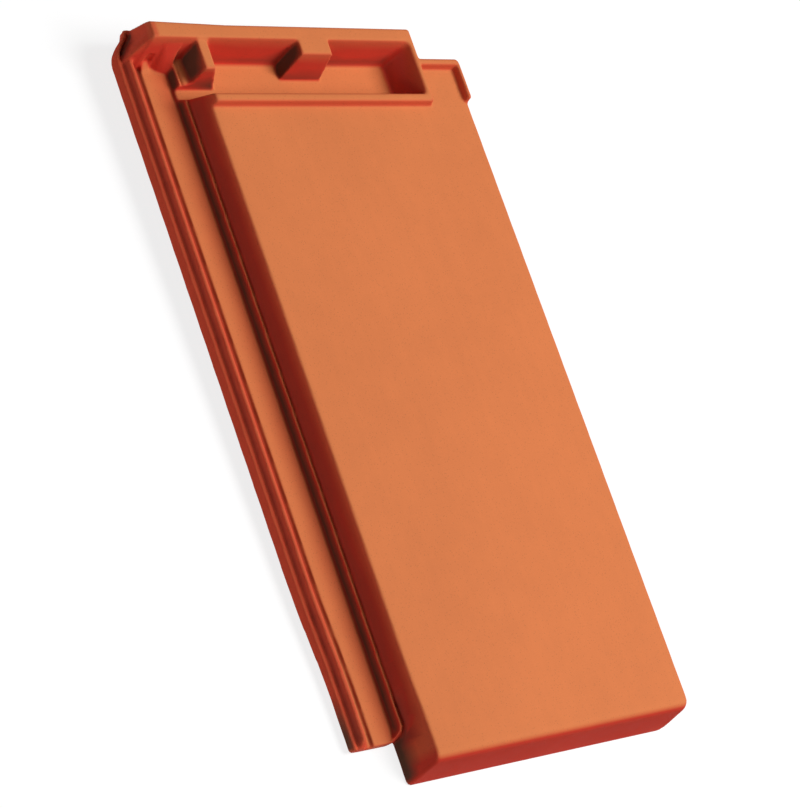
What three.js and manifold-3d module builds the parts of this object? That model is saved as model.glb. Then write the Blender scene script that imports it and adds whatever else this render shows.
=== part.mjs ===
// Flat interlocking clay roof tile, pressed and fired as one piece.
//
// Tile frame, in millimetres: X runs across the tile from the side interlock to the cover
// flange, Y runs up the roof from the foot to the head, and Z points out of the weather face.
// The weather face is the plane z = 0, and its left foot corner is the point (0, 0).
// At the end the tile is laid on a level floor, where it rests on its foot lip and its two nibs.

import * as THREE from 'three';
import { mergeVertices } from 'three/addons/utils/BufferGeometryUtils.js';
import Module from 'manifold-3d';

const wasm = await Module();
wasm.setup();

// ---------------------------------------------------------------- driving dimensions

// Weather face
const faceWidth = 221.5;
const faceLength = 412;
const slabThickness = 12;
const faceEdgeRound = 1.6;
const footEdgeRound = 5;
const footCornerRound = 3;

// Walls leave the press with these slopes, as run for each millimetre of height
const slope = (degrees) => Math.tan(THREE.MathUtils.degToRad(degrees));
const wallSlope = slope(12.5);
const footSlope = slope(14);
const sideSlope = slope(3);
const troughSlope = slope(15.5);
const troughEndSlope = slope(22);
const headSlope = slope(16);
const ribSlope = slope(12);
const hangingSlope = slope(5);

// Near the foot the left wall and the side interlock draw in, so that the next tile fits over
const wallDrawIn = { start: 62, end: 15, amount: 1.4 };
const interlockDrawIn = { start: 122, end: 48, amount: 2.3, bottomRise: 1.6 };

// Foot lip, which covers the head of the tile below
const lipDepth = 27;
const lipThickness = 14;
const lipBottomRound = 1;
const lipEndRound = 9;
const footRibWidth = 9;
const footRibStart = 28;
const footRibDepth = 24;

// Head frame: ridge, trough, rim and the strip beside the trough, all of one height
const ribHeight = 5;
const ribRound = 1.2;
const ribFillet = 1;
const frameCornerRound = 1.5;
const ridgeWidth = 5.2;
const troughLength = 37.2;
const troughDepth = 22.8;
const troughCornerRound = 3;
const troughFillet = 2.5;
const rimWidth = 8.9;
const stripWidth = 4.8;
const trayBottom = 29;

// Block that stands in the trough and stops the batten of the tile above
const blockWidth = 25.5;
const blockLength = 10;
const blockOffset = 5.1;
const blockSlope = slope(16.5);
const blockSideSlope = slope(11);

// Post at the trough's left end, with the drain that passes its foot side
const postLeft = 2.8;
const postDrop = 1.5;
const postWidth = 6.4;
const postLength = 19.9;
const postSlope = slope(5);
const postInnerSlope = slope(31);
const postFootSlope = slope(8.5);
const postFootFillet = 3.2;
const drainDepth = 17.8;
const drainEdgeRound = 0.8;
const drainFillet = 1;
const spoutReach = 0.5;
const spoutRound = 2.4;

// Side interlock: a ledge along the wall, a channel, a groove, a rib and a low flange
const ledgeDepth = 13.4;
const ledgeWidth = 3.4;
const ledgeSlope = slope(11);
const channelDepth = 20.5;
const channelWidth = 19.2;
const grooveWidth = 6.4;
const grooveDepth = 2;
const interlockRibTop = 2.6;
const interlockRibHeight = 4.9;
const seamWidth = 1.4;
const seamDepth = 0.4;
const flangeWidth = 3.2;
const flangeSlope = slope(10.5);
const interlockEdgeRound = 0.8;
const channelFillet = 0.3;
const grooveFillet = 0.6;
const interlockBottom = 27;
const interlockFoot = 18.5;
const interlockCornerRound = 2.5;
const outletCorner = -1.8;
const outletRound = 9;
const outletLength = 14;
const outletFlare = 4;

// Towards the foot the ledge turns outwards and sinks into the channel floor, and the rib ends:
// [distance from the interlock's foot, ledge outwards, ledge sunk, share of the rib's height]
const footStations = [
  [0, 6, 6.6, 0.05],
  [1, 4.6, 5.4, 0.25],
  [2.4, 2.8, 3.6, 0.6],
  [4.6, 0.8, 1, 1],
  [7.5, 0, 0, 1],
];

// Past the trough's head edge the flange turns inwards and rises round the rim's left end:
// [distance from the trough's head edge, inwards, top raised, underside raised, seam's depth]
const headStations = [
  [-6, 0, 0, 0, 0.4],
  [-2.5, 0.1, 0, 0.2, 1.6],
  [1.8, 1, 0.8, 1.8, 2.4],
  [6, 3.6, 2.2, 4, 2.4],
  [11, 7.4, 4.4, 8.4, 2.4],
  [15.6, 9.2, 4.8, 9.8, 2.4],
];
const ribClearance = 2;
const risingWidth = 3;

// Rim's left end, which slopes down to the interlock. Places are [x, distance from the trough's
// head edge], at the rim's top and at the channel floor. Its head wall stands a hair back from
// the tray's, so that the two never share a face.
const rimLeft = -30.8;
const rimEndTop = [[0, 0], [0, 1], [0, 5.6]];
const rimEndFloor = [[0.1, -6.9], [-8.9, -4.4], [-2, 6.4]];
const rimEndSpread = 0.6;
const rimEndUndercut = 4;
const rimEndSetback = 0.05;

// Notch at the head end of the channel
const notchLeft = -25.6;
const notchRight = -20.4;
const notchReach = 3.6;
const notchDepth = 18.2;
const notchRamp = 2.6;
const channelHeadFillet = 3;

// Cover flange, which lies over the side interlock of the next tile
const coverThickness = 11.5;
const coverWidth = 34.9;
const coverFoot = 15.5;
const coverLipWidth = 8;
const coverLipDepth = 18.5;
const coverRibWidth = 4.5;
const coverRibGap = 11;
const coverRibDepth = 19.5;
const coverReach = 31.6;
const coverCornerRound = 3.5;

// Raised rib round the cover flange's head corner
const cornerRibHeadWidth = 5.4;
const cornerRibSideWidth = 4;
const cornerRibStart = 2.2;
const cornerRibEndRound = 1.5;
const cornerRibInnerRound = 0.5;

// Underside
const legWidth = 12;
const innerLegWidth = 8;
const hollowSetback = 6;
const hollowRound = 4;
const stiffenerWidth = 9;
const stiffenerDepth = 18;
const stiffenerCount = 2;
const nibWidth = 34;
const nibLength = 15;
const nibDrop = 12;
const nibReach = 21;
const nibSpacing = 108;
const nibSlope = slope(8);
const nibHeadSlope = slope(16);
const nibRound = 2;

// Rounds are drawn in steps. Recesses are cut from above the highest edge and past the tile's
// sides, and joined blocks reach this far into each other.
const arcSteps = 3;
const roundSteps = 4;
const clearTop = 20;
const clearSide = 20;
const overlap = 1;

// ---------------------------------------------------------------- derived places

const frameRight = faceWidth - coverWidth;
const ridgeFoot = faceLength;
const troughFoot = ridgeFoot + ribHeight * ribSlope + ridgeWidth;
const troughHead = troughFoot + troughLength;
const rimHead = troughHead + rimWidth;
const troughFloor = ribHeight - troughDepth;
const troughRight = frameRight - stripWidth;
const troughLeft = postLeft + postWidth;
const blockCentre = (postLeft + troughRight) / 2 + blockOffset;
const headAt = (depth) => rimHead + (depth + ribHeight) * headSlope;
const wallRun = (depth) => -depth * wallSlope;
const lipContact = -lipDepth * footSlope;
const coverHead = faceLength + coverReach;
const nibBattenFace = faceLength + nibReach;

const ledgeEdge = wallRun(ledgeDepth) - ledgeWidth;
const channelRight = ledgeEdge - (channelDepth - ledgeDepth) * ledgeSlope;
const grooveRight = channelRight - channelWidth;
const grooveFloor = channelDepth + grooveDepth;
const grooveLeft = grooveRight - grooveWidth;
const ribTopRight = grooveLeft - (grooveDepth + interlockRibHeight) * ribSlope;
const ribTopLeft = ribTopRight - interlockRibTop;
const flangeRight = ribTopLeft - interlockRibHeight * ribSlope;
const flangeEdge = flangeRight - flangeWidth;
const interlockLeft = flangeEdge - (interlockBottom - channelDepth) * flangeSlope;
const interlockHead = troughHead + headStations.at(-1)[0];
const insideWall = interlockBottom * wallSlope;

const postFoot = troughHead - postLength;
const drainFoot = troughFoot + (drainDepth + ribHeight) * troughSlope;
const drainHead = postFoot - (drainDepth + ribHeight) * postFootSlope;
const cornerRibFoot = ridgeFoot + cornerRibStart;
const hollowLeft = wallRun(lipDepth) + legWidth + (lipDepth - slabThickness) * ribSlope;
const hollowRight = frameRight - innerLegWidth;
const hollowHead = troughFoot - hollowSetback;
const undersideClear = Math.max(trayBottom, lipDepth) + overlap;

// ---------------------------------------------------------------- making solids

function solid(geometry) {
  geometry.deleteAttribute('normal');
  geometry.deleteAttribute('uv');
  const merged = mergeVertices(geometry);
  return new wasm.Manifold(new wasm.Mesh({
    numProp: 3,
    vertProperties: merged.attributes.position.array,
    triVerts: merged.index.array,
  }));
}

function join(solids) {
  return solids.reduce((whole, piece) => whole.add(piece));
}

function subtractAll(body, cutters) {
  return cutters.reduce((rest, cutter) => rest.subtract(cutter), body);
}

// A closed outline through corners [x, y, radius], with each radius drawn as a tangent arc
function outline(corners) {
  const shape = new THREE.Shape();
  corners.forEach(([x, y, radius = 0], i) => {
    const [px, py] = corners[(i + corners.length - 1) % corners.length];
    const [nx, ny] = corners[(i + 1) % corners.length];
    const corner = new THREE.Vector2(x, y);
    const back = new THREE.Vector2(px - x, py - y).normalize();
    const ahead = new THREE.Vector2(nx - x, ny - y).normalize();
    if (radius === 0) {
      shape[i === 0 ? 'moveTo' : 'lineTo'](x, y);
      return;
    }
    const half = Math.acos(THREE.MathUtils.clamp(back.dot(ahead), -1, 1)) / 2;
    const start = corner.clone().addScaledVector(back, radius / Math.tan(half));
    const end = corner.clone().addScaledVector(ahead, radius / Math.tan(half));
    const middle = back.clone().add(ahead).normalize();
    const centre = corner.clone().addScaledVector(middle, radius / Math.sin(half));
    const turnsRight = back.cross(ahead) > 0;
    const from = start.clone().sub(centre).angle();
    const to = end.clone().sub(centre).angle();
    shape.absarc(centre.x, centre.y, radius, from, to, turnsRight);
  });
  return shape;
}

const pointsOf = (corners) => outline(corners).extractPoints(arcSteps).shape;

// One block through rings of points, each at its own height. All rings have the same count.
function loft(rings, heights) {
  const layers = rings.length - 1;
  const geometry = new THREE.ExtrudeGeometry(new THREE.Shape(rings[0]), {
    depth: layers, steps: layers, bevelEnabled: false,
  });
  const position = geometry.attributes.position;
  const here = new THREE.Vector2();
  for (let i = 0; i < position.count; i += 1) {
    here.set(position.getX(i), position.getY(i));
    const match = rings[0].findIndex((point) => point.distanceTo(here) < 1e-4);
    const layer = Math.round(position.getZ(i));
    const point = rings[layer][match];
    position.setXYZ(i, point.x, point.y, heights[layer]);
  }
  return geometry;
}

// Outline in (x, y), carried along Z
function upright(corners, from, to) {
  const points = pointsOf(corners);
  return solid(loft([points, points], [from, to]));
}

// Corners moved outwards, each wall by its own shift. A wall starts at its corner.
function moveWalls(corners, shifts) {
  const walls = corners.map(([x, y], i) => {
    const [nx, ny] = corners[(i + 1) % corners.length];
    const along = new THREE.Vector2(nx - x, ny - y).normalize();
    const out = new THREE.Vector2(along.y, -along.x);
    return { along, start: new THREE.Vector2(x, y).addScaledVector(out, shifts[i]) };
  });
  return corners.map(([, , radius = 0], i) => {
    const wall = walls[i];
    const before = walls[(i + walls.length - 1) % walls.length];
    const turn = wall.along.cross(before.along);
    const gap = before.start.clone().sub(wall.start);
    const reach = Math.abs(turn) < 1e-3 ? 0 : gap.cross(before.along) / turn;
    const place = wall.start.clone().addScaledVector(wall.along, reach);
    return [place.x, place.y, radius];
  });
}

// How far a quarter round still stands off its wall: 1 where it starts, 0 where it ends
function quarter(share) {
  const rest = 1 - THREE.MathUtils.clamp(share, 0, 1);
  return 1 - Math.sqrt(1 - rest * rest);
}

const standOff = (radius, distance) => (
  radius === 0 ? 0 : radius * quarter(distance / Math.abs(radius)));

// Heights at which a pressed block changes: close together where a round is deep
function levels(bottom, top, topRound, bottomRound) {
  const heights = new Set([bottom, top]);
  for (let i = 1; i <= roundSteps; i += 1) {
    const share = 1 - Math.cos((i / roundSteps) * (Math.PI / 2));
    if (topRound) heights.add(top - topRound * share);
    if (bottomRound) heights.add(bottom + bottomRound * share);
  }
  return [...heights].sort((a, b) => a - b);
}

// A block as it leaves the press. Its outline, corners of [x, y, radius, run, top round,
// bottom round], is given at one level. The last three belong to the wall that starts at the
// corner: how far it moves outwards for each millimetre further down, and the rounds at its
// ends. A negative round flares outwards, as a fillet does.
function pressed(corners, level, bottom, top, rimLevel = top) {
  const largest = (column) => Math.max(...corners.map((c) => Math.abs(c[column] ?? 0)));
  const heights = levels(bottom, rimLevel, largest(4), largest(5));
  if (top > rimLevel) heights.push(top);
  const rings = heights.map((height) => {
    const insets = corners.map(([, , , , topRound = 0, bottomRound = 0]) => (
      standOff(topRound, rimLevel - height) + standOff(bottomRound, height - bottom)));
    const shifts = corners.map(([, , , run = 0], i) => run * (level - height) - insets[i]);
    return pointsOf(moveWalls(corners, shifts).map(([x, y, radius], i) => (
      [x, y, radius && Math.max(0.2, radius - insets[i])])));
  });
  return solid(loft(rings, heights));
}

// The corners of a pressed rectangle. Each wall has [run, top round, bottom round].
function rectangle({ left, right, foot, head }, walls, radius = 0) {
  return [
    [left, foot, radius, ...(walls.foot ?? [])],
    [right, foot, radius, ...(walls.right ?? [])],
    [right, head, radius, ...(walls.head ?? [])],
    [left, head, radius, ...(walls.left ?? [])],
  ];
}

// How far a gradual move has come at y
function drawIn({ start, end, amount }, y) {
  return amount * THREE.MathUtils.smoothstep(start - y, 0, start - end);
}

// ---------------------------------------------------------------- the tile's parts

// Slab, left wall, foot lip and right edge as one block, rounded where the face ends
function faceBlock() {
  const side = [faceEdgeRound, lipBottomRound];
  const wallPlaces = [3, 2, 1, 0].map((i) => (
    THREE.MathUtils.lerp(wallDrawIn.end, wallDrawIn.start, i / 3)));
  const corners = [
    [drawIn(wallDrawIn, 0), 0, footCornerRound, footSlope, footEdgeRound, lipBottomRound],
    [faceWidth, 0, footCornerRound, -sideSlope, faceEdgeRound, lipEndRound],
    [faceWidth, troughFoot, 0, 0],
    [0, troughFoot, 0, wallSlope, ...side],
    ...wallPlaces.map((y) => [drawIn(wallDrawIn, y), y, 0, wallSlope, ...side]),
  ];
  return pressed(corners, 0, -lipDepth, 0);
}

// The hollow under the slab, between the left leg, the foot lip, the inner leg and the tray
function undersideHollow() {
  const space = { left: hollowLeft, right: hollowRight, foot: lipThickness, head: hollowHead };
  const walls = { left: [ribSlope], right: [ribSlope], foot: [footSlope], head: [ribSlope] };
  return pressed(rectangle(space, walls, hollowRound), -slabThickness, -undersideClear,
    -slabThickness);
}

// The low space under the cover flange, open to the right and at both ends
function coverSpace() {
  const space = {
    left: frameRight, right: faceWidth + clearSide, foot: coverFoot, head: rimHead + clearSide,
  };
  return pressed(rectangle(space, { left: [hangingSlope] }), -coverThickness, -undersideClear,
    -coverThickness);
}

// Ribs that hang from the cover flange into the next tile's channel and groove
function coverRibs() {
  const hanging = [-hangingSlope];
  const walls = { left: hanging, right: hanging, foot: hanging, head: hanging };
  const root = -coverThickness + overlap;
  const edge = faceWidth - coverThickness * sideSlope;
  const lip = { left: edge - coverLipWidth, right: edge, foot: coverFoot, head: coverHead };
  const ribRight = lip.left - coverRibGap;
  const rib = {
    left: ribRight - coverRibWidth, right: ribRight, foot: coverFoot, head: coverHead,
  };
  return pressed(rectangle(lip, walls), -coverThickness, -coverLipDepth, root).add(
    pressed(rectangle(rib, walls), -coverThickness, -coverRibDepth, root));
}

// Low ribs along the slab's underside, and one across it behind the foot lip
function stiffeners() {
  const root = -slabThickness + overlap;
  const hanging = [-hangingSlope];
  const pitch = (hollowRight - hollowLeft) / (stiffenerCount + 1);
  const bars = [];
  for (let i = 1; i <= stiffenerCount; i += 1) {
    const centre = hollowLeft + i * pitch;
    const bar = {
      left: centre - stiffenerWidth / 2, right: centre + stiffenerWidth / 2,
      foot: footRibStart, head: troughFoot,
    };
    bars.push(pressed(rectangle(bar, { left: hanging, right: hanging }), -slabThickness,
      -stiffenerDepth, root));
  }
  const across = {
    left: hollowLeft - innerLegWidth / 2, right: hollowRight + innerLegWidth / 2,
    foot: footRibStart, head: footRibStart + footRibWidth,
  };
  bars.push(pressed(rectangle(across, { foot: hanging, head: hanging }), -slabThickness,
    -footRibDepth, root));
  return join(bars);
}

// The side interlock's section at one place along the tile, as corners in (x, z)
function interlockSection(place) {
  const { drawn, raised, ledgeOut, ledgeSunk, ribShare, inwards, topRise, seam } = place;
  const moved = drawn + (inwards > 0 ? inwards + ribClearance : 0);
  const outer = drawn + inwards;
  const flangeTop = topRise - channelDepth;
  const ledgeTop = -ledgeDepth - ledgeSunk;
  const ribTop = -channelDepth + interlockRibHeight * ribShare;
  const reach = interlockRibHeight * (1 - ribShare) * ribSlope;
  const edge = interlockEdgeRound;
  return [
    [insideWall, ledgeTop],
    [ledgeEdge - ledgeOut, ledgeTop, edge],
    [channelRight - ledgeOut, -channelDepth, channelFillet],
    [grooveRight + moved, -channelDepth, edge],
    [grooveRight + moved - grooveDepth * ribSlope, -grooveFloor, grooveFillet],
    [grooveLeft + moved, -grooveFloor, grooveFillet],
    [ribTopRight + moved + reach, ribTop, edge],
    [ribTopLeft + moved - reach, ribTop, edge],
    [flangeRight + outer, flangeTop],
    [flangeRight + outer - seamWidth / 2, flangeTop - seam],
    [flangeRight + outer - seamWidth, flangeTop],
    [flangeEdge + outer, flangeTop, edge],
    [interlockLeft + outer, raised - interlockBottom, edge],
    [flangeRight + outer + risingWidth, -interlockBottom],
    [insideWall, -interlockBottom],
  ];
}

// Side interlock: its section drawn along the tile, then cut to its plan
function interlock() {
  const plain = {
    ledgeOut: 0, ledgeSunk: 0, ribShare: 1, inwards: 0, topRise: 0, seam: seamDepth,
  };
  const drawnAt = (y) => ({
    drawn: drawIn(interlockDrawIn, y),
    raised: drawIn({ ...interlockDrawIn, amount: interlockDrawIn.bottomRise }, y),
  });
  const places = footStations.map(([from, ledgeOut, ledgeSunk, ribShare]) => {
    const y = interlockFoot + from;
    return { ...plain, ...drawnAt(y), y, ledgeOut, ledgeSunk, ribShare };
  });
  const drawSteps = 6;
  for (let i = 0; i <= drawSteps; i += 1) {
    const y = THREE.MathUtils.lerp(interlockDrawIn.end, interlockDrawIn.start, i / drawSteps);
    places.push({ ...plain, ...drawnAt(y), y });
  }
  headStations.forEach(([past, inwards, topRise, raised, seam]) => {
    places.push({ ...plain, drawn: 0, y: troughHead + past, inwards, topRise, raised, seam });
  });
  places.reverse();
  const rings = places.map((place) => pointsOf(interlockSection(place)));
  const turn = new THREE.Matrix4().makeBasis(
    new THREE.Vector3(1, 0, 0), new THREE.Vector3(0, 0, 1), new THREE.Vector3(0, -1, 0));
  const body = solid(loft(rings, places.map(({ y }) => -y)).applyMatrix4(turn));
  const footLeft = interlockLeft + interlockDrawIn.amount;
  const plan = [
    [footLeft, interlockFoot, interlockCornerRound],
    [outletCorner, interlockFoot, outletRound],
    [outletCorner, interlockFoot + outletLength],
    [insideWall, interlockFoot + outletLength + outletFlare],
    [insideWall, headAt(0)],
    [rimLeft, headAt(0)],
    [rimLeft, interlockHead],
    [interlockLeft, interlockHead],
    [interlockLeft, interlockDrawIn.start],
  ];
  return body.intersect(upright(plan, -interlockBottom - overlap, 0));
}

// Clay under the head frame: it carries the ridge, trough and rim
function tray() {
  const upper = { left: 0, right: frameRight, foot: ridgeFoot, head: headAt(0) };
  const lower = {
    left: wallRun(slabThickness), right: frameRight, foot: hollowHead, head: headAt(slabThickness),
  };
  return pressed(rectangle(upper, { left: [wallSlope], head: [headSlope] }), 0, -lipDepth, 0).add(
    pressed(rectangle(lower, { left: [wallSlope], head: [headSlope], foot: [-ribSlope] }),
      -slabThickness, -trayBottom, -slabThickness + overlap));
}

// Ridge, strip and rim in one raised block, before the trough is pressed into it
function headFrame() {
  const frame = { left: 0, right: frameRight, foot: ridgeFoot, head: headAt(0) };
  const walls = {
    left: [wallSlope, ribRound],
    right: [ribSlope, ribRound, -ribFillet],
    foot: [ribSlope, ribRound, -ribFillet],
    head: [headSlope, ribRound],
  };
  return pressed(rectangle(frame, walls, frameCornerRound), 0, 0, ribHeight);
}

// The rim carried on over the side interlock, whose head end it closes
function rimEnd() {
  const inside = frameRight / 2;
  const floorLevel = -channelDepth;
  const floorFoot = troughHead - (ribHeight - floorLevel) * troughSlope;
  const ringAt = (height) => {
    const share = Math.min(1, (ribHeight - height) / (ribHeight - floorLevel));
    const left = rimEndTop.map(([x, y], i) => [
      rimLeft + THREE.MathUtils.lerp(x, rimEndFloor[i][0], share),
      troughHead + THREE.MathUtils.lerp(y, rimEndFloor[i][1], share),
    ]);
    const head = headAt(-height);
    const undercut = height < floorLevel ? rimEndUndercut : 0;
    const corners = [
      [inside, THREE.MathUtils.lerp(troughHead, floorFoot, share)],
      [inside, head],
      [rimLeft - rimEndSpread * share + undercut, head],
      [...left[2]],
      [...left[1]],
      [...left[0]],
    ];
    const inset = -standOff(ribRound, ribHeight - height);
    const shifts = [0, inset - rimEndSetback, inset, inset, inset, inset];
    return moveWalls(corners, shifts).map(([x, y]) => new THREE.Vector2(x, y));
  };
  const heights = [-interlockBottom, ...levels(floorLevel, ribHeight, ribRound, 0)];
  return solid(loft(heights.map(ringAt), heights));
}

function trough() {
  const floorRound = troughFillet;
  const corners = [
    [troughLeft, troughFoot, troughCornerRound, -troughSlope, -ribRound, floorRound],
    [troughRight, troughFoot, troughCornerRound, -troughEndSlope, -ribRound, floorRound],
    [troughRight, troughHead, troughCornerRound, -troughSlope, -ribRound, floorRound],
    [troughLeft, troughHead, troughCornerRound, -postInnerSlope, -ribRound, floorRound],
  ];
  return pressed(corners, ribHeight, troughFloor, clearTop, ribHeight);
}

// The trough's water leaves past the post's foot side, over the ledge, into the channel
function drain() {
  const way = {
    left: ledgeEdge - clearSide, right: troughLeft + clearSide, foot: troughFoot, head: postFoot,
  };
  const walls = {
    foot: [-troughSlope, -ribRound, drainFillet],
    head: [-postFootSlope, -drainEdgeRound, drainFillet],
  };
  return pressed(rectangle(way, walls), ribHeight, -drainDepth, clearTop, ribHeight);
}

// Space over the ledge and the channel, from the drain to the head wall
function interlockSpace() {
  const space = {
    left: interlockLeft - clearSide, right: postLeft, foot: troughFoot, head: rimHead + clearSide,
  };
  const walls = { foot: [-troughSlope], right: [-postSlope, -drainEdgeRound, postFootFillet] };
  return pressed(rectangle(space, walls), ribHeight, -ledgeDepth, clearTop, ribHeight - postDrop);
}

// The post's top is a little lower than the rim
function postStep() {
  const step = {
    left: interlockLeft, right: troughLeft + clearSide / 2, foot: postFoot - clearSide / 2,
    head: troughHead,
  };
  const walls = { head: [-troughSlope, -ribRound] };
  return pressed(rectangle(step, walls), ribHeight, ribHeight - postDrop, clearTop, ribHeight);
}

// Fillet where the channel floor meets the head wall, left out at the notch
function channelHead() {
  const wallFoot = troughHead - (ribHeight + channelDepth) * troughSlope;
  const wallTop = channelHeadFillet;
  const edge = [
    [wallFoot + wallTop, -channelDepth - overlap],
    [wallFoot - channelHeadFillet, -channelDepth - overlap],
    [wallFoot - channelHeadFillet, -channelDepth],
    [wallFoot, -channelDepth, channelHeadFillet],
    [wallFoot + wallTop * troughEndSlope, wallTop - channelDepth],
    [wallFoot + wallTop, wallTop - channelDepth],
  ];
  const turn = new THREE.Matrix4().makeBasis(
    new THREE.Vector3(0, 1, 0), new THREE.Vector3(0, 0, 1), new THREE.Vector3(1, 0, 0));
  const points = pointsOf(edge);
  return solid(loft([points, points], [notchRight, ledgeEdge]).applyMatrix4(turn));
}

function channelNotch() {
  const notch = {
    left: notchLeft, right: notchRight, foot: postFoot, head: troughHead - notchReach,
  };
  const ramp = pressed(rectangle(notch, { head: [-notchRamp] }), -notchDepth, -channelDepth,
    -notchDepth);
  return ramp.add(pressed(rectangle(notch, {}), -notchDepth, -notchDepth, 0));
}

function drainSpout() {
  const spout = {
    left: channelRight - spoutReach, right: postLeft + spoutRound,
    foot: drainFoot - overlap, head: drainHead + overlap,
  };
  return pressed(rectangle(spout, {}, spoutRound), -drainDepth, -interlockBottom, -drainDepth);
}

// Stops the batten of the tile above; its top is level with the rim
function block() {
  const half = blockWidth / 2;
  const shape = {
    left: blockCentre - half, right: blockCentre + half,
    foot: troughHead - blockLength, head: troughHead + ribRound,
  };
  const walls = {
    left: [blockSideSlope, ribRound],
    right: [blockSideSlope, ribRound],
    foot: [blockSlope, ribRound],
  };
  return pressed(rectangle(shape, walls), ribHeight, troughFloor - overlap, ribHeight);
}

// Raised rib round the cover flange's head corner
function cornerRib() {
  const inner = [ribSlope, ribRound, -ribFillet];
  const outer = [0, ribRound];
  const sideLeft = faceWidth - cornerRibSideWidth;
  const headFoot = coverHead - cornerRibHeadWidth;
  const corners = [
    [faceWidth, cornerRibFoot, cornerRibEndRound, ...outer],
    [faceWidth, coverHead, coverCornerRound, ...outer],
    [troughRight + overlap, coverHead],
    [troughRight + overlap, headFoot, 0, ...inner],
    [sideLeft, headFoot, cornerRibInnerRound, ...inner],
    [sideLeft, cornerRibFoot, cornerRibEndRound, ...inner],
  ];
  return pressed(corners, 0, 0, ribHeight);
}

// Cover flange beyond the ridge, up to its own head edge
function coverHeadPlate() {
  const start = cornerRibFoot + cornerRibEndRound;
  const corners = [
    [troughRight, start],
    [faceWidth, start, 0, -sideSlope],
    [faceWidth, coverHead, coverCornerRound],
    [troughRight, coverHead],
  ];
  return pressed(corners, 0, -coverThickness, 0);
}

// Two nibs, which hook the tile over the batten
function nibs() {
  const centre = (troughRight + postLeft) / 2;
  const walls = { left: [-nibSlope], right: [-nibSlope], head: [-nibHeadSlope] };
  return [-1, 1].map((side) => {
    const x = centre + side * nibSpacing / 2;
    const nib = {
      left: x - nibWidth / 2, right: x + nibWidth / 2,
      foot: nibBattenFace, head: nibBattenFace + nibLength,
    };
    return pressed(rectangle(nib, walls, nibRound), -trayBottom, -trayBottom - nibDrop,
      -trayBottom + overlap);
  });
}

// ---------------------------------------------------------------- assembly

let tile = faceBlock();
tile = subtractAll(tile, [undersideHollow(), coverSpace()]);
tile = join([tile, coverRibs(), stiffeners(), coverHeadPlate(), tray(), headFrame()]);
tile = tile.subtract(interlockSpace());
tile = join([tile, interlock(), rimEnd(), channelHead()]);
tile = subtractAll(tile, [channelNotch(), trough(), drain(), postStep()]);
tile = join([tile, drainSpout(), block(), cornerRib(), ...nibs()]);

// ---------------------------------------------------------------- laid on a level floor

function toGeometry(body) {
  const mesh = body.getMesh();
  const geometry = new THREE.BufferGeometry();
  geometry.setAttribute('position', new THREE.BufferAttribute(mesh.vertProperties, 3));
  geometry.setIndex(new THREE.BufferAttribute(mesh.triVerts, 1));
  geometry.computeVertexNormals();
  return geometry;
}

const clay = new THREE.MeshStandardMaterial({ color: 0xd5784b, roughness: 0.72, metalness: 0 });
const roofTile = new THREE.Mesh(toGeometry(tile), clay);
roofTile.name = 'roof_tile';

const restAngle = Math.atan((trayBottom + nibDrop - lipDepth) / (nibBattenFace - lipContact));
const group = new THREE.Group();
group.add(roofTile);
roofTile.rotation.x = restAngle;
roofTile.updateMatrixWorld(true);
const bounds = new THREE.Box3().setFromObject(roofTile, true);
const middle = bounds.getCenter(new THREE.Vector3());
roofTile.position.set(-middle.x, -middle.y, -bounds.min.z);

export default group;
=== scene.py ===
# Looks of the flat interlocking clay roof tile: soft pressed edges, fired clay, studio floor
# and light. The world is in metres: +X across the tile from the side channel to the cover
# flange, +Y from the foot to the head, +Z up.

import math

import bmesh
import bpy
import numpy as np
from mathutils import Matrix, Vector


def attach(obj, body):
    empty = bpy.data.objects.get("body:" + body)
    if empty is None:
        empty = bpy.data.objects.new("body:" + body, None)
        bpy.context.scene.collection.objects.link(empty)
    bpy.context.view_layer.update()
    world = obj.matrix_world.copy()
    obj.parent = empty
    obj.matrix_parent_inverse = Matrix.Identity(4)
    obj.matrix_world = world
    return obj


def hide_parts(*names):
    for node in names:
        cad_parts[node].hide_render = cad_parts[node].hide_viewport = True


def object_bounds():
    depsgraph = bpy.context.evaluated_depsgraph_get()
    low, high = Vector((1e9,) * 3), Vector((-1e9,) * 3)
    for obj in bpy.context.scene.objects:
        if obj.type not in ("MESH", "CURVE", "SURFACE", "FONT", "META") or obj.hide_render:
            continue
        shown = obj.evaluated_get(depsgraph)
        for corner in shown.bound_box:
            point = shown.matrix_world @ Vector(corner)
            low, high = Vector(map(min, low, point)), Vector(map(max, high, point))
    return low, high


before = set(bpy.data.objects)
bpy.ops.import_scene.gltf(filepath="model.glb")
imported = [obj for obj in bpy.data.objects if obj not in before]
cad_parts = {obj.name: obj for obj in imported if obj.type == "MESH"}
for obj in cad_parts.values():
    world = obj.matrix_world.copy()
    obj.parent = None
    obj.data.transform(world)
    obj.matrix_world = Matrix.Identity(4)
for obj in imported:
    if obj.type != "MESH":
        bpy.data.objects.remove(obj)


def corners(box):
    """A box's lowest and highest corner, as plain lists."""
    return [[float(v) for v in corner] for corner in box]


cad_box = corners(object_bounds())
scene = bpy.context.scene

# ---------------------------------------------------------------- camera

# Fitted to the tile's edges in the photograph. The turn is in degrees, the lens and the sensor
# are in millimetres, and the rest is in metres.
CAMERA_PLACE = (-1.31248, -0.49097, 1.24729)
CAMERA_TURN = (32.59308, -38.19329, -25.94893)
CAMERA_LENS = 138.6
CAMERA_SENSOR = 36.0
CAMERA_REACH = 20.0


def add_object(name, data):
    made = bpy.data.objects.new(name, data)
    scene.collection.objects.link(made)
    return made


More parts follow.
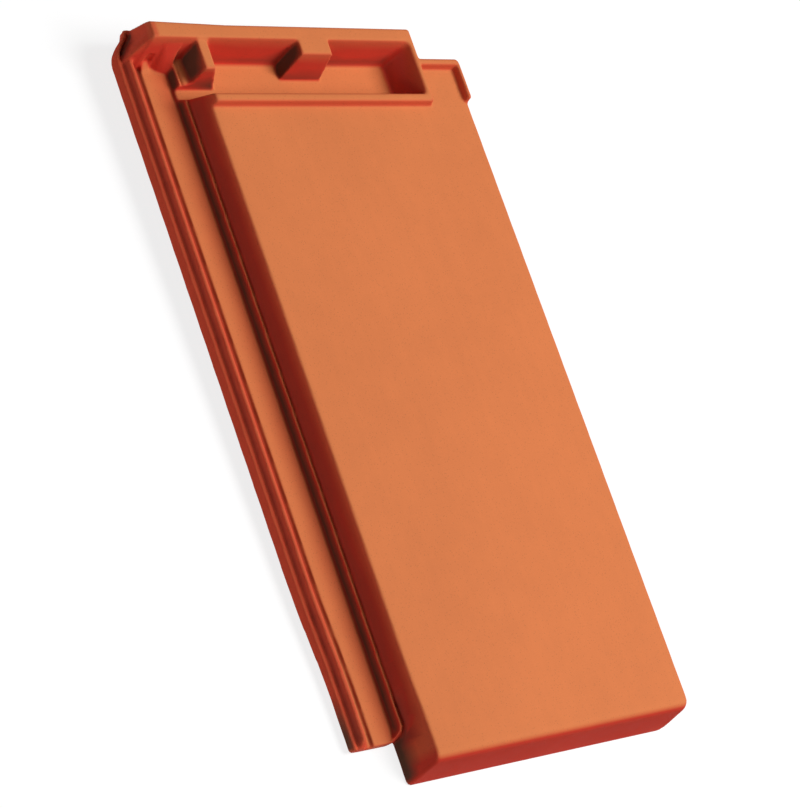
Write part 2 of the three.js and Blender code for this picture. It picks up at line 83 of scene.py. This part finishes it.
camera_data = bpy.data.cameras.new("camera")
camera_data.sensor_fit = "HORIZONTAL"
camera_data.sensor_width = CAMERA_SENSOR
camera_data.lens = CAMERA_LENS
camera_data.clip_end = CAMERA_REACH
camera = add_object("camera", camera_data)
camera.location = CAMERA_PLACE
camera.rotation_euler = [math.radians(angle) for angle in CAMERA_TURN]
scene.camera = camera

# ---------------------------------------------------------------- the tile's skin

# Cell of the fine remesh in metres, the smoothing after it, and the finished mesh's size
VOXEL = 0.0008
SMOOTH_FACTOR = 0.5
SMOOTH_STEPS = 3
SKIN_TRIANGLES = 188000
WELD_REACH = 1e-6

# A vertex bulges by how far it stands from its neighbours' mean, taken this many times over
BLUR_STEPS = 14

# How open a place lies is counted over rays that are spread evenly over a sphere. Across each
# ray lies a grid of square cells, and a vertex is hidden if it is more than SKY_SLACK cells
# behind the foremost one in its cell.
SKY_RAYS = 128
SKY_CELL = 0.0016
SKY_SLACK = 1.6
GOLDEN_TURN = math.pi * (3 - math.sqrt(5))

# The tile's own frame, in millimetres: x across it, y up the roof, z out of the weather face.
# The tile lies on its foot lip and its nibs, so that frame is turned and shifted in the world.
MM_PER_METRE = 1000
MM = 1 / MM_PER_METRE
LAID_TURN = 0.03182683
LAID_SHIFT = (-89.401485, -234.562675, 27.200544)
laid = (
    Matrix.Scale(MM, 4)
    @ Matrix.Translation(LAID_SHIFT)
    @ Matrix.Rotation(LAID_TURN, 4, "X")
)

# Places where the clay's marks, most of them painted light and shade, set in or end, in the
# tile's own frame and millimetres. Depths are below the weather face.
PROUD_Z = (-1.5, 2)
FOOT_DEPTH = (10, 24)
FOOT_Y = (25, 70)
HEAD_Y = (430, 436)
LONG_WALL_Z = (-15, -13)
LEDGE_RISE_Z = (-15.2, -14.4)
LEDGE_FALL_Z = (-13.4, -12.2)
CHANNEL_LEFT_X = (-28, -26)
CHANNEL_RIGHT_X = (-6, -4)
CHANNEL_DEPTH = (17, 19)
CHANNEL_SHADE_X = (-21, -11)

# The painted shade on faces turned to -X fades out between these world X, in metres
PAINTED_SHADE_FADE = (-0.04, 0.12)

# How strongly each thing counts in a mark, or takes away from it
PROUD_TILT = 1.4
AWAY_SLANT = 0.4
AWAY_FOOT = 0.5
LONG_WALL_LESS = 0.3
LEDGE_LESS = 0.8
CHANNEL_SHADE_LEAST = 0.1
CHANNEL_SHADE_MORE = 0.35


def evaluated(obj):
    """A new mesh of the object with its modifiers applied."""
    graph = bpy.context.evaluated_depsgraph_get()
    return bpy.data.meshes.new_from_object(obj.evaluated_get(graph), depsgraph=graph)


def neighbour_mean(values, edges, count):
    """Each vertex's value, moved half way to the mean of its neighbours."""
    total = np.zeros_like(values)
    for column in range(values.shape[1]):
        total[:, column] = (
            np.bincount(edges[:, 0], values[edges[:, 1], column], len(values))
            + np.bincount(edges[:, 1], values[edges[:, 0], column], len(values))
        )
    return 0.5 * values + 0.5 * total / count[:, None]


def read(collection, field, width, kind=np.float32):
    """One row of width values for each item of a mesh's collection."""
    values = np.empty(len(collection) * width, kind)
    collection.foreach_get(field, values)
    return values.reshape(-1, width)


def add_attribute(mesh, name, values):
    layer = mesh.attributes.new(name, "FLOAT", "POINT")
    layer.data.foreach_set("value", values.astype(np.float32))


def smooth_share(values, low, high):
    """0 up to low, 1 from high on, and a smooth step between them."""
    share = np.clip((values - low) / (high - low), 0, 1)
    return share * share * (3 - 2 * share)


def own_frame(place):
    """The places in the tile's own frame, in millimetres."""
    shift = np.array(laid.translation) * MM_PER_METRE
    return (place * MM_PER_METRE - shift) @ (np.array(laid.to_3x3()) * MM_PER_METRE)


def open_share(place, normal):
    """How much of what each vertex faces lies open: 1 on an open face, less in a recess."""
    seen = np.zeros(len(place))
    whole = np.zeros(len(place))
    for i in range(SKY_RAYS):
        rise = 1 - (2 * i + 1) / SKY_RAYS
        turn = i * GOLDEN_TURN
        run = math.sqrt(1 - rise * rise)
        ray = np.array((run * math.cos(turn), run * math.sin(turn), rise))
        side = np.array((-math.sin(turn), math.cos(turn), 0.0))
        column = np.floor(place @ side / SKY_CELL).astype(np.int64)
        row = np.floor(place @ np.cross(ray, side) / SKY_CELL).astype(np.int64)
        column -= column.min()
        row -= row.min()
        cell = row * (column.max() + 1) + column
        height = place @ ray
        highest = np.full(cell.max() + 1, -np.inf)
        np.maximum.at(highest, cell, height)
        facing = np.clip(normal @ ray, 0, None)
        seen += facing * (height > highest[cell] - SKY_CELL * SKY_SLACK)
        whole += facing
    return seen / whole


def mark_clay(mesh):
    """Stores what the clay's colour goes by, as a number for each vertex. Most of these marks
    paint light and shade into the colour.

    edge and hollow: how far it bulges out or in. open: how much of what it faces lies open.
    steep: how far it turns from the sky, for a deeper red that is painted shade. proud: clay
    above the weather face, or turned to +X, for painted light. away: turned to -X in a recess,
    for painted shade. The part of away that is painted darkest, fading out towards +X, and the
    channel's floor, redder towards the tile's wall, are painted shade as well.
    """
    place = read(mesh.vertices, "co", 3).astype(np.float64)
    normal = read(mesh.vertices, "normal", 3).astype(np.float64)
    edges = read(mesh.edges, "vertices", 2, np.int32)
    count = np.maximum(np.bincount(edges.ravel(), minlength=len(place)), 1)
    x, y, z = own_frame(place).T

    bare = open_share(place, normal)
    steep = np.clip(1 - normal[:, 2], 0, 1)
    # Painted light: clay above the weather face and faces turned to +X take a lighter colour
    proud = np.maximum(smooth_share(z, *PROUD_Z), np.clip(PROUD_TILT * normal[:, 0], 0, 1))

    # Painted shade: faces turned to -X in a recess, and low on the foot, take a duller colour
    foot = smooth_share(-z, *FOOT_DEPTH) * (1 - smooth_share(y, *FOOT_Y))
    away = np.clip(-normal[:, 0] - AWAY_SLANT * np.abs(normal[:, 1]), 0, 1)
    away = away * np.maximum(1 - bare, AWAY_FOOT * foot)

    before_head = 1 - smooth_share(y, *HEAD_Y)
    long_wall = smooth_share(z, *LONG_WALL_Z) * before_head
    ledge = smooth_share(z, *LEDGE_RISE_Z) * (1 - smooth_share(z, *LEDGE_FALL_Z)) * before_head
    # Painted shade: the darker part of away, fading towards +X, less on the long wall and ledge
    painted_shade = away * (1 - smooth_share(place[:, 0], *PAINTED_SHADE_FADE))
    painted_shade *= (1 - LONG_WALL_LESS * long_wall) * (1 - LEDGE_LESS * ledge)

    # Painted shade: the channel's floor, redder towards the tile's wall where its shadow falls
    in_channel = smooth_share(x, *CHANNEL_LEFT_X) * smooth_share(-z, *CHANNEL_DEPTH)
    in_channel *= 1 - smooth_share(x, *CHANNEL_RIGHT_X)
    painted_channel_shade = in_channel * (CHANNEL_SHADE_LEAST + CHANNEL_SHADE_MORE * smooth_share(x, *CHANNEL_SHADE_X))
    painted_channel_shade = painted_channel_shade * np.clip(normal[:, 2], 0, 1)

    marks = {
        "open": bare, "steep": steep, "proud": proud, "away": away, "painted_shade": painted_shade,
        "painted_channel_shade": painted_channel_shade,
    }
    mean = np.column_stack((place, *marks.values()))
    for _ in range(BLUR_STEPS):
        mean = neighbour_mean(mean, edges, count)
    bulge = np.einsum("ij,ij->i", place - mean[:, :3], normal) / VOXEL
    add_attribute(mesh, "edge", np.clip(bulge, 0, 1))
    add_attribute(mesh, "hollow", np.clip(-bulge, 0, 1))
    for column, name in enumerate(marks, 3):
        add_attribute(mesh, name, mean[:, column])


# The press's small forms at the head end, which the CAD solid leaves plain. They are in the
# tile's own frame, in millimetres.

# Gap between the flange and the rim's left end, as rows of y, left, right, top and depth
SEAM = [
    (451.2, -39.7, -39.2, -20.3, 0.6),
    (453.6, -39.6, -37.8, -20.2, 1.8),
    (457.0, -39.0, -36.2, -19.8, 2.4),
    (461.4, -36.4, -33.4, -18.3, 2.4),
    (465.4, -33.2, -30.6, -16.5, 1.9),
    (468.4, -31.6, -29.8, -15.8, 1.0),
    (470.4, -31.0, -29.8, -15.6, 0.2),
]
SEAM_CLEAR = 2.5
SEAM_INSET = 0.25

# The channel's head wall comes forward towards the tile's wall
WALL_FORWARD = [
    (-19.6, 448.8, -21), (-14.8, 445.3, -21), (-10.8, 443.8, -21), (-7.0, 443.0, -21),
    (-6.4, 447.2, -13.6), (-6.5, 454.2, 0.5), (-19.6, 454.6, 0.5), (-19.6, 455, -21),
    (-6.5, 455, -21),
]


def across(left, right, outline):
    """The corners of a bar across the tile whose outline is given as places (y, z)."""
    return [(x, y, z) for x in (left, right) for y, z in outline]


# To the left of that wall the CAD's notch is filled, cut again shallower, and given a ramp
NOTCH_FILL = across(-26.6, -19.4, ((448.36, -20.6), (452.41, -6), (456, -6), (456, -20.6)))
POCKET = across(-26.8, -21.0, ((447.4, -19.07), (451.6, -16.6), (452.2, -9.5), (447.4, -9.5)))
RAMP = across(-26.8, -21.0, ((444.8, -20.6), (451.6, -16.6), (456, -16.6), (456, -20.6)))

# The rim's head edge runs on by RIM_SPREAD at its left end, and less and less towards RIM_FROM.
# The skin stays this far inside the CAD model's box, in metres.
RIM_SPREAD = 1.7
RIM_FROM, RIM_TO = 29.0, -31.0
RIM_HEAD_Y = (458.5, 463.5)
RIM_Z = (-14, 3)
BOX_CLEAR = 1e-5


def tool_object(name, shape):
    """An object made from a closed bmesh, with its faces turned outwards."""
    bmesh.ops.recalc_face_normals(shape, faces=shape.faces)
    mesh = bpy.data.meshes.new(name)
    shape.to_mesh(mesh)
    shape.free()
    return add_object(name, mesh)


def hull(name, corner_set):
    """The convex solid that just holds the corners, which are in the tile's own frame."""
    shape = bmesh.new()
    made = [shape.verts.new(laid @ Vector(corner)) for corner in corner_set]
    bmesh.ops.convex_hull(shape, input=made)
    return tool_object(name, shape)


def seam_wedge(name):
    """The gap as one closed wedge, drawn through its places."""
    shape = bmesh.new()
    rings = []
    for y, left, right, top, depth in SEAM:
        inset = SEAM_INSET * (right - left)
        corner_set = (
            (left, y, top + SEAM_CLEAR), (right, y, top + SEAM_CLEAR),
            (right - inset, y, top - depth), (left + inset / 2, y, top - depth),
        )
        rings.append([shape.verts.new(laid @ Vector(corner)) for corner in corner_set])
    for near, far in zip(rings, rings[1:]):
        for i in range(4):
            shape.faces.new((near[i], near[i - 1], far[i - 1], far[i]))
    shape.faces.new(rings[0])
    shape.faces.new(rings[-1])
    bmesh.ops.triangulate(shape, faces=shape.faces)
    return tool_object(name, shape)


def weld(mesh):
    """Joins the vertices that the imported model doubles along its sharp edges."""
    shape = bmesh.new()
    shape.from_mesh(mesh)
    bmesh.ops.remove_doubles(shape, verts=shape.verts, dist=WELD_REACH)
    shape.to_mesh(mesh)
    shape.free()


def press(work, tool, operation):
    """Joins a tool to the work object's mesh, or cuts it out of it."""
    change = work.modifiers.new("press", "BOOLEAN")
    change.operation = operation
    change.solver = "EXACT"
    change.object = tool
    mesh = evaluated(work)
    work.modifiers.clear()
    work.data = mesh
    bpy.data.objects.remove(tool)


def spread_rim(mesh):
    """Moves the rim's head edge outwards towards its left end, inside the CAD model's box."""
    place = read(mesh.vertices, "co", 3).astype(np.float64)
    x, y, z = own_frame(place).T
    share = np.clip((x - RIM_FROM) / (RIM_TO - RIM_FROM), 0, 1)
    share *= smooth_share(y, *RIM_HEAD_Y) * smooth_share(z, *RIM_Z)
    place[:, 1] += share * RIM_SPREAD * MM
    low, high = (np.array(corner) for corner in cad_box)
    place = np.clip(place, low + BOX_CLEAR, high - BOX_CLEAR)
    mesh.vertices.foreach_set("co", place.astype(np.float32).ravel())
    mesh.update()


def fired_skin(source):
    """One closed skin round the CAD solid, with its edges softened as pressing leaves them."""
    work = add_object("work", source.data.copy())
    work.matrix_world = source.matrix_world
    weld(work.data)
    press(work, hull("notch_fill", NOTCH_FILL), "UNION")
    press(work, hull("wall_forward", WALL_FORWARD), "UNION")
    press(work, hull("pocket", POCKET), "DIFFERENCE")
    press(work, hull("ramp", RAMP), "UNION")
    press(work, seam_wedge("seam"), "DIFFERENCE")
    remesh = work.modifiers.new("remesh", "REMESH")
    remesh.mode = "VOXEL"
    remesh.voxel_size = VOXEL
    soften = work.modifiers.new("soften", "SMOOTH")
    soften.factor = SMOOTH_FACTOR
    soften.iterations = SMOOTH_STEPS
    dense = evaluated(work)
    work.modifiers.clear()
    spread_rim(dense)
    mark_clay(dense)
    work.data = dense
    triangles = sum(len(face.vertices) - 2 for face in dense.polygons)
    reduce = work.modifiers.new("reduce", "DECIMATE")
    reduce.ratio = min(1.0, SKIN_TRIANGLES / triangles)
    weigh = work.modifiers.new("weigh", "WEIGHTED_NORMAL")
    weigh.mode = "FACE_AREA"
    made = add_object("clay_body", evaluated(work))
    made.matrix_world = source.matrix_world
    bpy.data.objects.remove(work)
    return made


# ---------------------------------------------------------------- materials

# A Mix node's colour sockets
MIX_FACTOR, MIX_A, MIX_B, MIX_RESULT = 0, 6, 7, 2

# Most of a noise's values lie in this range
NOISE_RANGE = (0.3, 0.7)


class Nodes:
    """The node tree of a material or a world, emptied and built by short calls."""

    def __init__(self, owner):
        owner.use_nodes = True
        self.tree = owner.node_tree
        self.tree.nodes.clear()

    def add(self, kind, **values):
        node = self.tree.nodes.new("ShaderNode" + kind)
        for key, value in values.items():
            setattr(node, key, value)
        return node

    def put(self, socket, value):
        if isinstance(value, bpy.types.NodeSocket):
            self.tree.links.new(value, socket)
        else:
            socket.default_value = value

    def attribute(self, name):
        return self.add("Attribute", attribute_name=name).outputs["Fac"]

    def math(self, operation, a, b):
        node = self.add("Math", operation=operation)
        self.put(node.inputs[0], a)
        self.put(node.inputs[1], b)
        return node.outputs[0]

    def scale(self, vector, by):
        node = self.add("VectorMath", operation="MULTIPLY")
        self.put(node.inputs[0], vector)
        node.inputs[1].default_value = by
        return node.outputs[0]

    def noise(self, vector, scale, detail, roughness):
        node = self.add("TexNoise")
        self.put(node.inputs["Vector"], vector)
        node.inputs["Scale"].default_value = scale
        node.inputs["Detail"].default_value = detail
        node.inputs["Roughness"].default_value = roughness
        return node.outputs["Fac"]

    def spread(self, value, low, high, to_low=0.0, to_high=1.0):
        """to_low where value is low, to_high where it is high, and straight between them."""
        node = self.add("MapRange")
        self.put(node.inputs["Value"], value)
        bounds = {"From Min": low, "From Max": high, "To Min": to_low, "To Max": to_high}
        for name, number in bounds.items():
            node.inputs[name].default_value = number
        return node.outputs["Result"]

    def swing(self, noise, depth):
        """The noise as a number that goes from -depth to depth."""
        return self.spread(noise, *NOISE_RANGE, -depth, depth)

    def mix(self, factor, a, b, blend="MIX"):
        node = self.add("Mix", data_type="RGBA", blend_type=blend)
        self.put(node.inputs[MIX_FACTOR], factor)
        self.put(node.inputs[MIX_A], a)
        self.put(node.inputs[MIX_B], b)
        return node.outputs[MIX_RESULT]

    def grey(self, value):
        node = self.add("CombineColor")
        for channel in ("Red", "Green", "Blue"):
            self.put(node.inputs[channel], value)
        return node.outputs[0]

    def bump(self, height, strength, distance, normal=None):
        node = self.add("Bump")
        self.put(node.inputs["Height"], height)
        node.inputs["Strength"].default_value = strength
        node.inputs["Distance"].default_value = distance
        if normal is not None:
            self.put(node.inputs["Normal"], normal)
        return node.outputs["Normal"]


# The clay's colours: the weather face; steep faces in general, a deeper red that is painted
# shade; walls that lie open, lighter as painted light; walls that turn away in a recess,
# duller as painted shade; bulging edges, paler; and a dark colour for painted shade in
# recesses, hollows and faces turned to -X, which the specks use too
FACE_COLOUR = (0.68, 0.202, 0.071, 1)
WALL_COLOUR = (0.60, 0.046, 0.026, 1)
OPEN_WALL_COLOUR = (0.62, 0.098, 0.042, 1)
SHUT_WALL_COLOUR = (0.60, 0.085, 0.055, 1)
PALE_COLOUR = (0.72, 0.22, 0.09, 1)
DEEP_COLOUR = (0.07, 0.045, 0.028, 1)

# World places in metres: the foot's outer face ends at this Y, and left of this X lie the side
# interlock's rib and flange
FOOT_EDGE = (-0.232, -0.226)
FLANK_EDGE = (-0.1178, -0.1152)

# Where each mark begins and ends to colour the clay
STEEP_RANGE = (0.1, 0.42)
OPEN_RANGE = (0.66, 0.8)
AWAY_RANGE = (0.3, 0.5)
DEEP_RANGE = (0.36, 0.12)
PAINTED_SHADE_RANGE = (0.12, 0.46)
HOLLOW_RANGE = (0.2, 1.0)
EDGE_RANGE = (0.3, 0.9)

# The most that each one colours it. The last is how much open wall is left on the flank.
FLANK_SHARE = 0.85
DEEP_SHARE = 0.92
HOLLOW_SHARE = 0.1
EDGE_SHARE = 0.3
SPECK_SHARE = 0.22
FLANK_OPEN = 0.4

# Noises as scale to the metre, detail and roughness. The streaks run along the press's draw.
CLOUDS = (16, 3, 0.55)
BLOTCHES = (75, 4, 0.6)
STREAKS = (1.0, 3, 0.6)
STREAK_STRETCH = (150, 7, 60)
GRAIN = (1500, 2, 0.6)
SPECK_SCALE = 520
SPECK_RANGE = (0.10, 0.22)

# How far each noise moves the colour's brightness, up and down
CLOUD_SHADE = 0.03
BLOTCH_SHADE = 0.02
STREAK_SHADE = 0.01
GRAIN_SHADE = 0.03

ROUGHNESS = (0.58, 0.7)
ROUGH_GRAIN = 0.05
ROUGH_WORN = 0.08
SPECULAR = 0.03

# Bumps as strength, and height in metres
WAVES = (0.25, 0.0012)
DENTS = (0.22, 0.0004)
PORES = (0.22, 0.00012)
PORE_SPECK = 0.5


def clay_material():
    """Fired clay, coloured by the skin's marks and place, most of them painted light and shade,
    and broken up by noises.
    """
    material = bpy.data.materials.new("fired_clay")
    n = Nodes(material)
    place = n.add("TexCoord").outputs["Object"]
    edge, hollow, bare, steep, proud, away, painted_shade, painted_channel_shade = (
        n.attribute(name)
        for name in ("edge", "hollow", "open", "steep", "proud", "away", "painted_shade", "painted_channel_shade"))

    clouds = n.noise(place, *CLOUDS)
    blotches = n.noise(place, *BLOTCHES)
    streaks = n.noise(n.scale(place, STREAK_STRETCH), *STREAKS)
    grain = n.noise(place, *GRAIN)
    specks = n.add("TexVoronoi")
    n.put(specks.inputs["Vector"], place)
    specks.inputs["Scale"].default_value = SPECK_SCALE
    speck = n.spread(specks.outputs["Distance"], *SPECK_RANGE, 1, 0)

    axes = n.add("SeparateXYZ")
    n.put(axes.inputs[0], place)
    # Painted shade: the rib and flange and the channel's floor take most of the redder wall
    # colour
    flank = n.spread(axes.outputs["X"], *FLANK_EDGE, 1, 0)
    painted_shade_share = n.math("MAXIMUM", n.math("MULTIPLY", flank, FLANK_SHARE), painted_channel_shade)
    # Painted shade: steep faces take the deeper, redder wall colour
    wall = n.math("MAXIMUM", n.spread(steep, *STEEP_RANGE), painted_shade_share)
    # Painted light: open walls past the foot and walls turned to +X get the lighter open colour
    past_foot = n.spread(axes.outputs["Y"], *FOOT_EDGE)
    open_wall = n.math("MULTIPLY", n.spread(bare, *OPEN_RANGE), past_foot)
    open_wall = n.math("MULTIPLY", open_wall, n.spread(flank, 0, 1, 1, FLANK_OPEN))
    # Painted shade: walls turned to -X in a recess take the duller shut wall colour
    wall_colour = n.mix(n.spread(away, *AWAY_RANGE), WALL_COLOUR, SHUT_WALL_COLOUR)
    wall_colour = n.mix(n.math("MAXIMUM", open_wall, proud), wall_colour, OPEN_WALL_COLOUR)
    colour = n.mix(wall, FACE_COLOUR, wall_colour)

    # Painted shade: recesses and the darkest part of faces turned to -X darken towards deep
    # colour
    deep = n.math("MAXIMUM", n.spread(bare, *DEEP_RANGE), n.spread(painted_shade, *PAINTED_SHADE_RANGE))
    colour = n.mix(n.math("MULTIPLY", deep, DEEP_SHARE), colour, DEEP_COLOUR)
    # Painted shade: hollows darken a little more
    colour = n.mix(n.spread(hollow, *HOLLOW_RANGE, 0, HOLLOW_SHARE), colour, DEEP_COLOUR)
    colour = n.mix(n.spread(edge, *EDGE_RANGE, 0, EDGE_SHARE), colour, PALE_COLOUR)

    shade = n.swing(clouds, CLOUD_SHADE)
    for noise, depth in (
        (blotches, BLOTCH_SHADE), (streaks, STREAK_SHADE), (grain, GRAIN_SHADE),
    ):
        shade = n.math("ADD", shade, n.swing(noise, depth))
    shade = n.math("ADD", shade, 1.0)
    colour = n.mix(1.0, colour, n.grey(shade), "MULTIPLY")
    colour = n.mix(n.math("MULTIPLY", speck, SPECK_SHARE), colour, DEEP_COLOUR)

    rough = n.spread(blotches, *NOISE_RANGE, *ROUGHNESS)
    rough = n.math("ADD", rough, n.swing(grain, ROUGH_GRAIN))
    rough = n.math("SUBTRACT", rough, n.math("MULTIPLY", edge, ROUGH_WORN))

    waves = n.bump(clouds, *WAVES)
    dents = n.bump(blotches, *DENTS, waves)
    pitted = n.math("SUBTRACT", grain, n.math("MULTIPLY", speck, PORE_SPECK))
    pores = n.bump(pitted, *PORES, dents)

    skin = n.add("BsdfPrincipled")
    n.put(skin.inputs["Base Color"], colour)
    n.put(skin.inputs["Roughness"], rough)
    n.put(skin.inputs["Normal"], pores)
    skin.inputs["Specular IOR Level"].default_value = SPECULAR
    out = n.add("OutputMaterial")
    n.put(out.inputs["Surface"], skin.outputs["BSDF"])
    return material


def seen_directly(n):
    """1 for rays that should meet the white studio background."""
    path = n.add("LightPath")
    seen = n.math("MAXIMUM", path.outputs["Is Camera Ray"], path.outputs["Is Glossy Ray"])
    return n.math("MAXIMUM", seen, path.outputs["Is Transmission Ray"])


# The floor as the camera sees it: a glow with a grey card that takes the tile's shadow. What it
# throws back at the tile is dark before CARD_EDGE, which are two Y in metres, and white past it.
FLOOR_GLOW = 0.82
FLOOR_SEEN = (0.22, 0.22, 0.22, 1)
CARD_WHITE = 0.9
CARD_DARK = 0.06
CARD_EDGE = (-0.30, -0.22)


def floor_material():
    material = bpy.data.materials.new("studio_floor")
    n = Nodes(material)
    glow = n.add("Emission")
    glow.inputs["Strength"].default_value = FLOOR_GLOW
    card = n.add("BsdfDiffuse")
    card.inputs["Color"].default_value = FLOOR_SEEN
    both = n.add("AddShader")
    n.put(both.inputs[0], glow.outputs[0])
    n.put(both.inputs[1], card.outputs[0])
    place = n.add("SeparateXYZ")
    n.put(place.inputs[0], n.add("TexCoord").outputs["Object"])
    white = n.spread(place.outputs["Y"], *CARD_EDGE, CARD_DARK, CARD_WHITE)
    bounce = n.add("BsdfDiffuse")
    n.put(bounce.inputs["Color"], n.grey(white))
    choose = n.add("MixShader")
    n.put(choose.inputs[0], seen_directly(n))
    n.put(choose.inputs[1], bounce.outputs[0])
    n.put(choose.inputs[2], both.outputs[0])
    out = n.add("OutputMaterial")
    n.put(out.inputs["Surface"], choose.outputs[0])
    return material


body = fired_skin(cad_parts["roof_tile"])
body.data.materials.clear()
body.data.materials.append(clay_material())
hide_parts("roof_tile")
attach(body, "root")

# ---------------------------------------------------------------- floor, light, world

FLOOR_HALF = 6.0
floor_mesh = bpy.data.meshes.new("studio_floor")
floor_mesh.from_pydata(
    [(x * FLOOR_HALF, y * FLOOR_HALF, 0) for x, y in ((-1, -1), (1, -1), (1, 1), (-1, 1))],
    [], [(0, 1, 2, 3)])
floor_mesh.materials.append(floor_material())
add_object("studio_floor", floor_mesh)

AMBIENT = 0.04
WHITE = (1, 1, 1, 1)


def studio_world():
    """White where it is seen directly, and only a faint light on everything else."""
    world = bpy.data.worlds.new("studio")
    n = Nodes(world)
    sky = n.add("Background")
    sky.inputs["Color"].default_value = WHITE
    n.put(sky.inputs["Strength"], n.spread(seen_directly(n), 0, 1, AMBIENT, 1.0))
    n.put(n.add("OutputWorld").inputs["Surface"], sky.outputs[0])
    return world


scene.world = studio_world()


def lamp(name, towards, distance, size, strength):
    """A square softbox, in metres. Its strength is what it adds to a white face turned to it."""
    data = bpy.data.lights.new(name, "AREA")
    data.shape = "SQUARE"
    data.size = size
    data.energy = strength * math.pi * math.pi * distance * distance
    light = add_object(name, data)
    light.location = Vector(towards).normalized() * distance
    light.rotation_euler = light.location.to_track_quat("Z", "Y").to_euler()


lamp("key", towards=(0.58, -0.28, 1.0), distance=3.0, size=1.9, strength=1.25)
lamp("fill", towards=(-1.0, -0.25, 0.16), distance=3.0, size=0.6, strength=0.15)

scene.view_settings.view_transform = "Standard"
